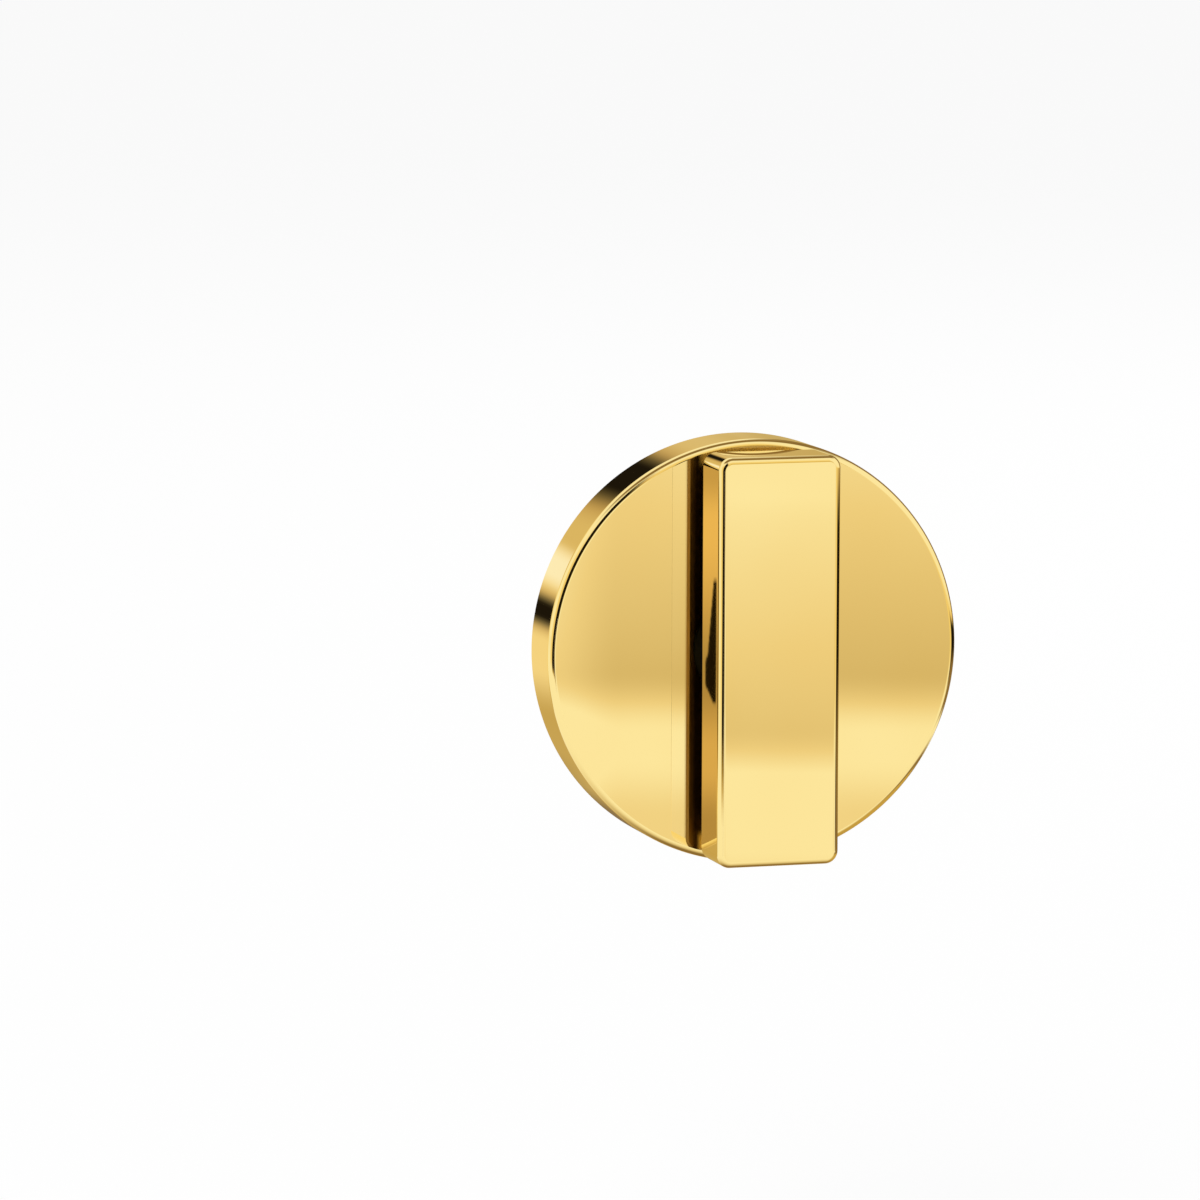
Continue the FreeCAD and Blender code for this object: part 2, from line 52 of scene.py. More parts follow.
class Shade:
    """A socket among a finish's nodes. Sums and products of shades add Math nodes to them."""

    def __init__(self, tree, socket=None):
        self.tree, self.socket = tree, socket

    def node(self, kind, settings=None, sockets=None, output=0):
        """Add a node: its settings are set first, then its sockets get their values or links."""
        added = self.tree.nodes.new("ShaderNode" + kind)
        for name, setting in (settings or {}).items():
            setattr(added, name, setting)
        for name, given in (sockets or {}).items():
            if isinstance(given, Shade):
                self.tree.links.new(given.socket, added.inputs[name])
            else:
                added.inputs[name].default_value = given
        return Shade(self.tree, added.outputs[output] if added.outputs else None)

    def maths(self, operation, first, second=0.0):
        return self.node("Math", {"operation": operation}, {0: first, 1: second})

    def __add__(self, other):
        return self.maths("ADD", self, other)

    def __sub__(self, other):
        return self.maths("SUBTRACT", self, other)

    def __rsub__(self, other):
        return self.maths("SUBTRACT", other, self)

    def __mul__(self, other):
        return self.maths("MULTIPLY", self, other)

    __radd__, __rmul__ = __add__, __mul__

    def between(self, low, high):
        """0 below low, 1 above high and a soft step from one to the other."""
        return self.node("MapRange", {"interpolation_type": "SMOOTHSTEP"},
                         {"Value": self, "From Min": low, "From Max": high})

    def faded(self, low, high):
        """The same step, for a length in metres between two lengths in millimetres."""
        return self.between(low * MM, high * MM)

    def noise(self, place, scale, detail=2.0):
        return self.node("TexNoise", None, {"Vector": place, "Scale": scale, "Detail": detail})

    def mixed(self, share, first, second):
        """A colour between two others, by the Mix node's colour sockets, which go by number."""
        return self.node("Mix", {"data_type": "RGBA"}, {0: share, 6: first, 7: second}, output=2)

    def stretched(self, place, factors):
        return self.node("VectorMath", {"operation": "MULTIPLY"}, {0: place, 1: factors})

    def axis(self, place, letter):
        return self.node("SeparateXYZ", None, {"Vector": place}, output=letter)

    def distance(self, place, spot):
        return self.node("VectorMath", {"operation": "DISTANCE"}, {0: place, 1: spot}, output="Value")

    def bump(self, height, depth, strength):
        return self.node("Bump", None, {"Height": height, "Distance": depth, "Strength": strength})


def new_finish(name):
    """An empty material, a first shade to add nodes from, and the place on the piece in metres."""
    finish = bpy.data.materials.new(name)
    finish.use_nodes = True
    finish.node_tree.nodes.clear()
    here = Shade(finish.node_tree)
    return finish, here, here.node("TexCoord", output="Object")


def surface(here, **sockets):
    """End a finish in one shader, the spaces in its sockets' names written as underscores."""
    named = {name.replace("_", " "): given for name, given in sockets.items()}
    here.node("OutputMaterial", None, {"Surface": here.node("BsdfPrincipled", None, named)})


def dress(name, finish):
    """Give a CAD node its finish."""
    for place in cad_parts[name].material_slots:
        place.material = finish


cast_zinc, here, place = new_finish("cast_zinc")
grain = here.noise(place, scale=2600.0, detail=3.0)
tarnish = here.noise(place, scale=90.0, detail=5.0).between(0.36, 0.74)
pins = 0.0
for x in (-PIN_ACROSS, PIN_ACROSS):
    for z in (-PIN_UP, PIN_UP):
        from_pin = here.distance(place, (x * MM, 0.0, z * MM))
        pins = pins + (1 - from_pin.faded(PIN_RADIUS, PIN_RADIUS + PIN_EDGE))
surface(
    here,
    Base_Color=here.mixed(tarnish, CLEAN_ZINC, TARNISHED_ZINC),
    Metallic=1.0,
    Roughness=0.40 + tarnish * 0.06 + grain * 0.08 - pins * 0.14,
    Normal=here.bump(grain * 0.3 - pins, depth=0.00012, strength=0.6),
)
dress("fixing_plate", cast_zinc)


# Fixing screws: two countersunk wood screws with cross recesses, cold headed and thread rolled from steel
# wire and plated with bright zinc. They go through the plate into the door on one diagonal.
SCREW_CIRCLE = 18.2
SCREW_HEAD_LEVEL = 2.45
SCREW_LENGTH = 16.0
SCREW_POINT = 4.0
SCREW_HEAD_RADIUS = 3.3
SCREW_HEAD_LAND = 0.3
SCREW_STEPS = 40
THREAD_RADIUS = 1.75
THREAD_CORE = 1.2
THREAD_PITCH = 1.7
THREAD_FROM_HEAD = 4.2
THREAD_FLANK = 2.2
THREAD_STEPS = 12
RECESS_REACH = 1.9
RECESS_SLOT = 0.5
RECESS_DEPTH = 1.4
CUT_CLEAR = 1.0
BLUE_PLATING = (0.70, 0.71, 0.74, 1)
YELLOW_PLATING = (0.73, 0.70, 0.62, 1)
WELD = 1e-8
SHARP_ANGLE = 32.0


def new_piece(name, points, faces):
    """A mesh object from points in millimetres."""
    mesh = bpy.data.meshes.new(name)
    mesh.from_pydata([[MM * value for value in point] for point in points], [], faces)
    made = bmesh.new()
    made.from_mesh(mesh)
    bmesh.ops.remove_doubles(made, verts=made.verts, dist=WELD)
    bmesh.ops.dissolve_degenerate(made, edges=made.edges, dist=WELD)
    bmesh.ops.recalc_face_normals(made, faces=made.faces)
    made.to_mesh(mesh)
    made.free()
    piece = bpy.data.objects.new(name, mesh)
    bpy.context.scene.collection.objects.link(piece)
    return piece


def skinned(rings, closed):
    """Faces between rings that all have as many points, joined end to end, or capped at both ends."""
    count = len(rings[0])
    starts = [row * count for row in range(len(rings))]
    faces = []
    for low, high in zip(starts, starts[1:] + starts[:1] if closed else starts[1:]):
        for step in range(count):
            after = (step + 1) % count
            faces.append((low + step, low + after, high + after, high + step))
    if not closed:
        faces += [tuple(range(start, start + count)) for start in (starts[0], starts[-1])]
    return [point for ring in rings for point in ring], faces


def around(radius, out, steps):
    """A ring of points round the spindle's axis, so far out from the door."""
    turns = [2 * math.pi * step / steps for step in range(steps)]
    return [(radius * math.cos(turn), -out, radius * math.sin(turn)) for turn in turns]


def baked(piece):
    """Make the result of a piece's modifiers its own mesh."""
    seen = piece.evaluated_get(bpy.context.evaluated_depsgraph_get())
    piece.data = bpy.data.meshes.new_from_object(seen)
    piece.modifiers.clear()
    return piece


def joined(piece, operation, *tools):
    """Cut tools out of a piece, or unite it with them."""
    for tool in tools:
        change = piece.modifiers.new(operation, "BOOLEAN")
        change.operation, change.solver, change.object = operation, "EXACT", tool
    baked(piece)
    for tool in tools:
        bpy.data.objects.remove(tool)
    return piece


def smoothed(piece):
    """Shade a piece smooth between its sharp edges, with flat faces kept flat up to their rounds."""
    piece.data.shade_smooth()
    piece.data.set_sharp_from_angle(angle=math.radians(SHARP_ANGLE))
    weigh = piece.modifiers.new("weigh", "WEIGHTED_NORMAL")
    weigh.mode, weigh.weight, weigh.keep_sharp = "FACE_AREA", 50, True
    return baked(piece)


def fitted(piece, finish, body, slot, *nodes):
    """Give a piece its finish, let it move with its body and stand for its CAD nodes."""
    piece.data.materials.clear()
    piece.data.materials.append(finish)
    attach(piece, body)
    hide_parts(*nodes)


def wood_screw(name):
    """One screw: its head's face at the origin, its thread a helix that fades out at head and point."""
    neck = SCREW_HEAD_LAND + SCREW_HEAD_RADIUS - THREAD_RADIUS
    rings = [around(radius, out, SCREW_STEPS) for radius, out in (
        (0.0, 0.0), (SCREW_HEAD_RADIUS, 0.0), (SCREW_HEAD_RADIUS, -SCREW_HEAD_LAND),
    )]
    rows = int(THREAD_STEPS * (SCREW_LENGTH - neck) / THREAD_PITCH)
    for row in range(rows + 1):
        depth = neck + (SCREW_LENGTH - neck) * row / rows
        taper = min(1.0, (SCREW_LENGTH - depth) / SCREW_POINT)
        cut_in = min(1.0, max(0.0, (depth - THREAD_FROM_HEAD) / THREAD_PITCH))
        ring = []
        for step in range(SCREW_STEPS):
            turn = 2 * math.pi * step / SCREW_STEPS
            crest = 1 - abs(2 * ((depth / THREAD_PITCH + step / SCREW_STEPS) % 1.0) - 1)
            flank = min(1.0, max(0.0, crest * THREAD_FLANK - 1.0))
            radius = taper * (THREAD_RADIUS - (THREAD_RADIUS - THREAD_CORE) * cut_in * (1 - flank))
            ring.append((radius * math.cos(turn), depth, radius * math.sin(turn)))
        rings.append(ring)
    screw = new_piece(name, *skinned(rings, closed=True))
    half, reach = RECESS_SLOT / 2, RECESS_REACH
    plan = [(reach, -half), (reach, half), (half, half), (half, reach), (-half, reach), (-half, half),
            (-reach, half), (-reach, -half), (-half, -half), (-half, -reach), (half, -reach), (half, -half)]
    recess = new_piece("recess", *skinned([
        [(across, level, up) for across, up in plan] for level in (-CUT_CLEAR, RECESS_DEPTH)
    ], closed=False))
    return joined(screw, "DIFFERENCE", recess)


bright_zinc, here, place = new_finish("bright_zinc")
smear = here.noise(place, scale=420.0, detail=3.0)
tint = here.noise(place, scale=160.0).between(0.40, 0.62)
surface(
    here,
    Base_Color=here.mixed(tint, BLUE_PLATING, YELLOW_PLATING),
    Metallic=1.0,
    Roughness=0.16 + smear * 0.22,
    Normal=here.bump(here.noise(place, scale=5200.0), depth=0.00001, strength=0.4),
)
screw_reach = SCREW_CIRCLE * math.sqrt(0.5)
screws = [wood_screw("upper_screw"), wood_screw("lower_screw")]
for screw, side in zip(screws, (1, -1)):
    screw.data.transform(Matrix.Translation(
        MM * Vector((side * screw_reach, -SCREW_HEAD_LEVEL, side * screw_reach))))
fixing_screws = joined(screws[0], "UNION", screws[1])
fixing_screws.name = "wood_screws"
fitted(smoothed(fixing_screws), bright_zinc, "rose", "plated_steel", "fixing_screws")


# Rose cover: a cup turned from brass, with a plain face and a small rounded front edge, mirror polished
# and given a pale gold vapour coating. It slips over the plate, and a set screw under its rim holds it.
ROSE_RADIUS = 26.0
ROSE_DEPTH = 8.0
ROSE_FACE_WALL = 2.0
ROSE_SIDE_WALL = 1.5
ROSE_EDGE_ROUND = 0.85
ROSE_BACK_BREAK = 0.12
ROSE_STEPS = 288
ROUND_STEPS = 12
BUSH_SEAT = 6.7
RIM_GRUB_LEVEL = 3.4
RIM_DRILL_REACH = 4.0
GRUB_HOLE = 1.55
GRUB_HOLE_STEPS = 48
PALE_GOLD = (0.985, 0.795, 0.335, 1)
DEEP_GOLD = (0.975, 0.775, 0.315, 1)


def arc(centre, radius, first, last, steps):
    """Points along an arc, its angles in degrees."""
    turns = [math.radians(first + (last - first) * step / steps) for step in range(steps + 1)]
    return [(centre[0] + radius * math.cos(turn), centre[1] + radius * math.sin(turn)) for turn in turns]


def grub_circle(centre):
    """A set screw's hole, once round."""
    gaps = GRUB_HOLE_STEPS - 1
    return arc(centre, GRUB_HOLE, 0, 360 * gaps / GRUB_HOLE_STEPS, gaps)


def gold_coating(here, place):
    """The polished coating's colour, roughness and bump: a slight wave from the buffing wheel, and haze."""
    wave = here.noise(place, scale=60.0, detail=1.0)
    haze = here.noise(place, scale=900.0, detail=3.0)
    colour = here.mixed(wave.between(0.3, 0.7), PALE_GOLD, DEEP_GOLD)
    return colour, 0.006 + haze * 0.006, here.bump(wave, depth=0.0000006, strength=1.0)


polished_gold, here, place = new_finish("polished_gold")
gold, gloss, buffed = gold_coating(here, place)
surface(here, Base_Color=gold, Metallic=1.0, Roughness=gloss, Normal=buffed)
cup = ROSE_RADIUS - ROSE_SIDE_WALL
edge = ROSE_RADIUS - ROSE_EDGE_ROUND
section = [
    (BUSH_SEAT, ROSE_DEPTH - ROSE_FACE_WALL),
    (BUSH_SEAT, ROSE_DEPTH),
    *reversed(arc((edge, ROSE_DEPTH - ROSE_EDGE_ROUND), ROSE_EDGE_ROUND, 0, 90, ROUND_STEPS)),
    (ROSE_RADIUS, ROSE_BACK_BREAK),
    (ROSE_RADIUS - ROSE_BACK_BREAK, 0.0),
    (cup, 0.0),
    (cup, ROSE_DEPTH - ROSE_FACE_WALL),
]
rose_rings = [around(radius, out, ROSE_STEPS) for radius, out in section]
rose_cover = new_piece("turned_cover", *skinned(rose_rings, closed=True))
drill = new_piece("drill", *skinned([
    [(x, y, level) for x, y in grub_circle((0, -RIM_GRUB_LEVEL))]
    for level in (-ROSE_RADIUS - CUT_CLEAR, -ROSE_RADIUS + RIM_DRILL_REACH)
], closed=False))
joined(rose_cover, "DIFFERENCE", drill)
fitted(smoothed(rose_cover), polished_gold, "rose", "polished_gold", "rose_cover")


# Neck bush: a collared sleeve moulded from black nylon and pressed into the rose. The turn's neck runs in it
# without touching metal, and its collar fills the gap between the rose and the bar. Its colour is near black,
# partly the nylon's own black and partly painted shade for that gap.
NYLON_BLACK_AND_SHADE = (0.0015, 0.0015, 0.0015, 1)
NYLON_SOFT_BLACK_AND_SHADE = (0.003, 0.003, 0.003, 1)

# Near-black colour: the nylon's own black, pushed darker as painted shade for the gap between the rose and
# the bar.
black_nylon_and_shade, here, place = new_finish("black_nylon_and_shade")
mould = here.noise(place, scale=3200.0)
surface(
    here,
    Base_Color=here.mixed(mould, NYLON_BLACK_AND_SHADE, NYLON_SOFT_BLACK_AND_SHADE),
    Roughness=0.62 + mould * 0.20,
    Specular_IOR_Level=0.03,
    Normal=here.bump(mould, depth=0.00003, strength=0.4),
)
dress("neck_bush", black_nylon_and_shade)


# Thumb turn: a flat bar with rounded edges and corners, hot stamped in brass in one piece with its neck, and
# polished and coated like the rose. The bar's back is left rough and unpolished; its colour is dark in the
# middle as painted shade between the bar and the rose, and lighter near its edges as painted light. The neck
# is turned bare, with a circlip groove, two flats and a square socket.
BAR_WIDTH = 15.3
BAR_LENGTH = 49.8
BAR_BACK = 11.0
BAR_FRONT = 18.3
BAR_CORNER_ROUND = 1.6
BAR_FRONT_ROUND = 0.8
BAR_BACK_CHAMFER = 0.3
NECK_RADIUS = 5.5
NECK_ROOT = 12.0
NECK_END = -3.2
NECK_CHAMFER = 0.4
NECK_STEPS = 96
GROOVE_RADIUS = 5.05
GROOVE_FRONT = 3.7
GROOVE_BACK = 2.6
FLAT_OFFSET = 4.5
FLAT_TOP = 4.7
SOCKET_HALF = 2.55
SOCKET_DEPTH = 10.0
NECK_GRUB_LEVEL = -0.8
NECK_DRILL_START = 0.5
CUTTER_REACH = 9.0
SKIN_FROM = -0.04
SKIN_TO = 0.02
TURNED_FROM = 0.05
TURNED_TO = 0.10
# Spans in millimetres over which the painted light near the back's sides and ends fades. The three colours
# after them are the back's painted shade, painted half light and painted light.
PAINTED_LIGHT_SIDES = (0.3, 1.2)
PAINTED_LIGHT_ENDS = (1.6, 2.8)
PAINTED_END_LIGHT_FROM_SIDES = (1.2, 2.0)
BACK_PAINTED_SHADE = (0.05, 0.032, 0.016, 1)
BACK_PAINTED_HALF_LIGHT = (0.42, 0.27, 0.10, 1)
BACK_PAINTED_LIGHT = (1.0, 0.84, 0.50, 1)
BARE_BRASS = (0.66, 0.46, 0.19, 1)
BRIGHT_BRASS = (0.76, 0.55, 0.25, 1)


def bar_outline():
    """The bar's outline seen from the front: places with their outward directions, once round."""
    across, up = BAR_WIDTH / 2 - BAR_CORNER_ROUND, BAR_LENGTH / 2 - BAR_CORNER_ROUND
    places = []
    for x, z, first in ((across, up, 0), (-across, up, 90), (-across, -up, 180), (across, -up, 270)):
        outs = arc((0, 0), 1.0, first, first + 90, ROUND_STEPS)
        places += [((x + BAR_CORNER_ROUND * out[0], z + BAR_CORNER_ROUND * out[1]), out) for out in outs]
    return places


def bar_ring(inset, out):
    """The bar's outline, drawn in by an inset and so far out from the door."""
    return [(x - inset * out_x, -out, z - inset * out_z) for (x, z), (out_x, out_z) in bar_outline()]


def block(low, high):
    """A cutter with flat sides, between two corners."""
    plan = [(low[0], low[2]), (high[0], low[2]), (high[0], high[2]), (low[0], high[2])]
    rings = [[(x, y, z) for x, z in plan] for y in (low[1], high[1])]
    return new_piece("block", *skinned(rings, closed=False))


round_start = BAR_FRONT - BAR_FRONT_ROUND
front_round = arc((0.0, round_start), BAR_FRONT_ROUND, 0, 90, ROUND_STEPS)
profile = [(BAR_BACK_CHAMFER, BAR_BACK), (0.0, BAR_BACK + BAR_BACK_CHAMFER), (0.0, round_start)]
profile += [(BAR_FRONT_ROUND - across, out) for across, out in front_round[1:]]
thumb_turn = new_piece("turn_bar", *skinned([bar_ring(inset, out) for inset, out in profile], closed=False))
neck_section = [
    (0.0, NECK_ROOT),
    (NECK_RADIUS, NECK_ROOT),
    (NECK_RADIUS, GROOVE_FRONT),
    (GROOVE_RADIUS, GROOVE_FRONT),
    (GROOVE_RADIUS, GROOVE_BACK),
    (NECK_RADIUS, GROOVE_BACK),
    (NECK_RADIUS, NECK_END + NECK_CHAMFER),
    (NECK_RADIUS - NECK_CHAMFER, NECK_END),
    (0.0, NECK_END),
]
neck = new_piece("neck", *skinned([around(r, out, NECK_STEPS) for r, out in neck_section], closed=True))
past_end = -NECK_END + CUT_CLEAR
joined(
    neck, "DIFFERENCE",
    block((FLAT_OFFSET, -FLAT_TOP, -CUTTER_REACH), (CUTTER_REACH, past_end, CUTTER_REACH)),
    block((-CUTTER_REACH, -FLAT_TOP, -CUTTER_REACH), (-FLAT_OFFSET, past_end, CUTTER_REACH)),
    block((-SOCKET_HALF, -NECK_END - SOCKET_DEPTH, -SOCKET_HALF), (SOCKET_HALF, past_end, SOCKET_HALF)),
    new_piece("drill", *skinned([
        [(level, y, z) for y, z in grub_circle((-NECK_GRUB_LEVEL, 0))]
        for level in (NECK_DRILL_START, CUTTER_REACH)
    ], closed=False)),
)
joined(thumb_turn, "UNION", neck)

turn_gold, here, place = new_finish("turn_gold")
gold, gloss, buffed = gold_coating(here, place)
across, out, up = (here.axis(place, letter) for letter in "XYZ")
from_side = BAR_WIDTH / 2 * MM - here.maths("ABSOLUTE", across)
from_end = BAR_LENGTH / 2 * MM - here.maths("ABSOLUTE", up)
chamfer_level = -BAR_BACK - BAR_BACK_CHAMFER
unpolished = out.faded(chamfer_level + SKIN_FROM, chamfer_level + SKIN_TO)
turned = out.faded(TURNED_FROM - BAR_BACK, TURNED_TO - BAR_BACK)
streaks = here.noise(here.stretched(place, (1.0, 1.0, 0.02)), scale=9000.0)
rings = here.noise(here.stretched(place, (0.02, 1.0, 0.02)), scale=9000.0)
# The back's colour is painted. It is dark in the middle as painted shade between the bar and the rose, and
# lighter as painted light near its sides, with random streaks there, and near its ends.
side_painted_light = (1 - from_side.faded(*PAINTED_LIGHT_SIDES)) * (0.4 + 0.6 * streaks)
end_painted_light = (1 - from_end.faded(*PAINTED_LIGHT_ENDS)) * from_side.faded(*PAINTED_END_LIGHT_FROM_SIDES)
back = here.mixed(end_painted_light, here.mixed(side_painted_light, BACK_PAINTED_SHADE, BACK_PAINTED_HALF_LIGHT), BACK_PAINTED_LIGHT)
bare = here.mixed(rings, BARE_BRASS, BRIGHT_BRASS)
surface(
    here,
    Base_Color=here.mixed(unpolished, gold, here.mixed(turned, back, bare)),
    Metallic=1.0,
    Roughness=gloss + unpolished * 0.42 - turned * (0.16 + rings * 0.06),
    Normal=buffed,
)
fitted(smoothed(thumb_turn), turn_gold, "turn", "polished_gold", "thumb_turn")


# Retaining stack: a flat washer and a keyed stop plate pressed from bright steel, with a conical spring and
# a circlip of phosphated spring steel between and behind them. They hold the turn in the rose.
GREY_STEEL = (0.58, 0.57, 0.56, 1)
PALE_STEEL = (0.68, 0.67, 0.66, 1)
DARK_PHOSPHATE = (0.085, 0.082, 0.080, 1)
GREY_PHOSPHATE = (0.165, 0.160, 0.155, 1)

bright_steel, here, place = new_finish("bright_steel")
rolled = here.noise(here.stretched(place, (1.0, 1.0, 0.06)), scale=5200.0)
surface(
    here,
    Base_Color=here.mixed(rolled, GREY_STEEL, PALE_STEEL),
    Metallic=1.0,
    Roughness=0.22 + rolled * 0.16,
    Normal=here.bump(rolled, depth=0.000012, strength=0.4),
)
dress("flat_washer", bright_steel)
dress("stop_plate", bright_steel)

phosphated_steel, here, place = new_finish("phosphated_steel")
crystal = here.noise(place, scale=6400.0, detail=3.0)
surface(
    here,
    Base_Color=here.mixed(crystal, DARK_PHOSPHATE, GREY_PHOSPHATE),
    Metallic=0.9,
    Roughness=0.44 + crystal * 0.18,
    Normal=here.bump(crystal, depth=0.00002, strength=0.5),
)
dress("disc_spring", phosphated_steel)
dress("circlip", phosphated_steel)


# Set screws: hardened M3 socket screws with a black oxide skin, one in the rim's underside that holds the
# cover, and one in the neck that holds the spindle.
DRY_OXIDE = (0.030, 0.030, 0.033, 1)
OILED_OXIDE = (0.062, 0.060, 0.062, 1)

black_oxide, here, place = new_finish("black_oxide")
oil = here.noise(place, scale=1500.0)
surface(
    here,
    Base_Color=here.mixed(oil, DRY_OXIDE, OILED_OXIDE),
    Metallic=0.8,
    Roughness=0.30 + oil * 0.16,
    Normal=here.bump(here.noise(place, scale=5200.0), depth=0.00001, strength=0.4),
)
dress("cover_set_screw", black_oxide)
dress("spindle_grub_screw", black_oxide)


# Spindle: square steel bar, cold drawn and zinc plated, cropped and chamfered at both ends. It carries the
# turn's motion through the door to the lock case.
CLEAR_PLATING = (0.68, 0.70, 0.74, 1)
BLOOMED_PLATING = (0.65, 0.665, 0.69, 1)

drawn_zinc, here, place = new_finish("drawn_zinc")
drawn = here.noise(here.stretched(place, (1.0, 0.02, 1.0)), scale=4200.0, detail=3.0)
bloom = here.noise(place, scale=260.0, detail=3.0).between(0.40, 0.66)
surface(
    here,
    Base_Color=here.mixed(bloom, CLEAR_PLATING, BLOOMED_PLATING),
    Metallic=1.0,
    Roughness=0.22 + drawn * 0.14 + bloom * 0.03,
    Normal=here.bump(drawn, depth=0.000015, strength=0.6),
)
dress("spindle", drawn_zinc)


# Floor and surround: a plain pale floor under the part and a white room round it. Both look white to the
# camera and in the polished metal, and light the matt pieces less.
FLOOR_LEVEL = -0.085
FLOOR_SIZE = 80.0
FLOOR_GLOW = 0.86
SURROUND_FILL = 0.70
PALE_FLOOR = (0.90, 0.90, 0.90, 1)
PLAIN_WHITE = (1, 1, 1, 1)


def seen_rays(here):
    """1 for rays from the camera and for those that metal or glass sends on."""
    kinds = [here.node("LightPath", output=name) for name in
             ("Is Camera Ray", "Is Glossy Ray", "Is Transmission Ray")]
    return here.maths("MAXIMUM", kinds[0], here.maths("MAXIMUM", kinds[1], kinds[2]))


pale_floor, here, place = new_finish("pale_floor")
matt = here.node("BsdfDiffuse", None, {"Color": PALE_FLOOR})
white = here.node("Emission", None, {"Color": PLAIN_WHITE, "Strength": 1.0})
here.node("OutputMaterial", None, {"Surface": here.node(
    "MixShader", None, {0: seen_rays(here) * FLOOR_GLOW, 1: matt, 2: white})})
span = FLOOR_SIZE / 2 / MM
floor = new_piece("floor", [(x * span, y * span, FLOOR_LEVEL / MM) for x, y in
                            ((-1, -1), (1, -1), (1, 1), (-1, 1))], [(0, 1, 2, 3)])
floor.data.materials.append(pale_floor)

surround = bpy.data.worlds.new("surround")
bpy.context.scene.world = surround
surround.use_nodes = True
surround.node_tree.nodes.clear()
here = Shade(surround.node_tree)
level = SURROUND_FILL + seen_rays(here) * (1 - SURROUND_FILL)
here.node("OutputWorld", None, {"Surface": here.node(
    "Background", None, {"Color": PLAIN_WHITE, "Strength": level})})


# Lamps: two soft square lamps, in front on the left and behind on the right. They light the matt pieces and
# are not seen in the polished metal.
def soft_lamp(name, spot, size, power):
    """A square lamp that faces the part."""
    lamp = bpy.data.lights.new(name, "AREA")
    lamp.size, lamp.energy = size, power
    made = bpy.data.objects.new(name, lamp)
    made.location = spot
    made.rotation_euler = (-Vector(spot)).to_track_quat("-Z", "Y").to_euler()
    made.visible_glossy = False
    bpy.context.scene.collection.objects.link(made)


soft_lamp("key_lamp", spot=(-0.7, -0.9, 1.1), size=0.7, power=9.0)
soft_lamp("back_lamp", spot=(0.8, 0.9, 1.0), size=0.7, power=6.0)


# Cards: coloured cards and flags hung round the part, each a patch of a sphere, seen only in what the metal
# mirrors. Azimuth 0 is in front of the part and grows to the right, and angles are in degrees.
CARD_DISTANCE = 0.36
FACE_AZIMUTH = 17.6
FACE_ELEVATION = -7.4
WHITE_CARD = (1.0, 1.0, 1.0)
SAND_CARD = (0.88, 0.78, 0.61)
TAN_CARD = (0.705, 0.595, 0.41)
AMBER_CARD = (0.92, 0.77, 0.44)
OCHRE_CARD = (0.58, 0.42, 0.15)
BROWN_CARD = (0.26, 0.175, 0.08)
RUST_CARD = (0.36, 0.19, 0.05)
BLACK_CARD = (0.012, 0.009, 0.006)
SIDE_METAL = (0.983, 0.82, 0.437)
SIDE_WARMTH = (1.0, 0.81, 0.62)

card_paint, here, place = new_finish("card_paint")
paint = {"layer_name": "tones"}
glow = here.node("Emission", None, {"Color": here.node("VertexColor", paint), "Strength": 1.0})
here.node("OutputMaterial", None, {"Surface": here.node("MixShader", None, {
    0: here.node("VertexColor", paint, output="Alpha"), 1: here.node("BsdfTransparent"), 2: glow})})


def card(name, tone, azimuths, elevations, steps, distance=CARD_DISTANCE):
    """Hang a card, its tone(azimuth, elevation) a colour and a cover."""
    across, up = steps
    points, faces, tones = [], [], []
    for row in range(up + 1):
        for column in range(across + 1):
            azimuth = azimuths[0] + (azimuths[1] - azimuths[0]) * column / across
            elevation = elevations[0] + (elevations[1] - elevations[0]) * row / up
            a, e = math.radians(azimuth), math.radians(elevation)
            points.append([distance / MM * value for value in
                           (math.sin(a) * math.cos(e), -math.cos(a) * math.cos(e), math.sin(e))])
            tones.append(tone(azimuth, elevation))
            if row and column:
                corner = row * (across + 1) + column
                faces.append((corner, corner - 1, corner - across - 2, corner - across - 1))
    made = new_piece(name, points, faces)
    layer = made.data.color_attributes.new("tones", "FLOAT_COLOR", "POINT")
    for spot, given in zip(layer.data, tones):
        spot.color = given
    made.data.materials.append(card_paint)
    made.visible_camera = made.visible_diffuse = made.visible_shadow = made.visible_transmission = False


def soft_step(value, low, high):
    """0 below low, 1 above high, smooth between."""
    share = min(1.0, max(0.0, (value - low) / (high - low)))
    return share * share * (3 - 2 * share)


def inside(value, low, high, soft):
    """1 between low and high, with soft edges outside them."""
    return soft_step(value, low - soft, low) * (1 - soft_step(value, high, high + soft))


def blended(share, *colours):
    """A colour along a row of colours, share 0 the first and share 1 the last."""
    place = min(1.0, max(0.0, share)) * (len(colours) - 1)
    first = min(int(place), len(colours) - 2)
    return [a + (b - a) * (place - first) for a, b in zip(colours[first], colours[first + 1])]


def dark(cover):
    """A black flag whose soft edges are brown."""
    return (*blended(soft_step(cover, 0.25, 0.9), RUST_CARD, BLACK_CARD), cover)


def warmth(elevation):
    """How warm the big front card is: tan above a soft lower edge, paler upwards, and sandy at its foot."""
    body = soft_step(elevation, -10.0, -8.3) * (1.0 + 0.11 * min(0.0, -8.2 - elevation))
    return body * (1 - soft_step(elevation, -2.6, 0.2)) + 0.42 * soft_step(-elevation, 10.7, 12.4)


def front_tone(azimuth, elevation):
    """The card hangs lower, and is paler, where the bar mirrors it than where the rose does."""
    bar = inside(azimuth, 15.45, 18.6, 0.3)
    share = warmth(elevation + 1.15 * bar) - 0.26 * bar - 0.5 * (1 - soft_step(azimuth, 11.2, 13.4))
    cover = inside(azimuth, 8.0, 24.0, 2.0) * (1 - soft_step(elevation, -1.5, 1.0))
    return (*blended(share, WHITE_CARD, SAND_CARD, TAN_CARD), cover)


card("front_card", front_tone, azimuths=(6, 26), elevations=(-13.2, 1.0), steps=(200, 142))


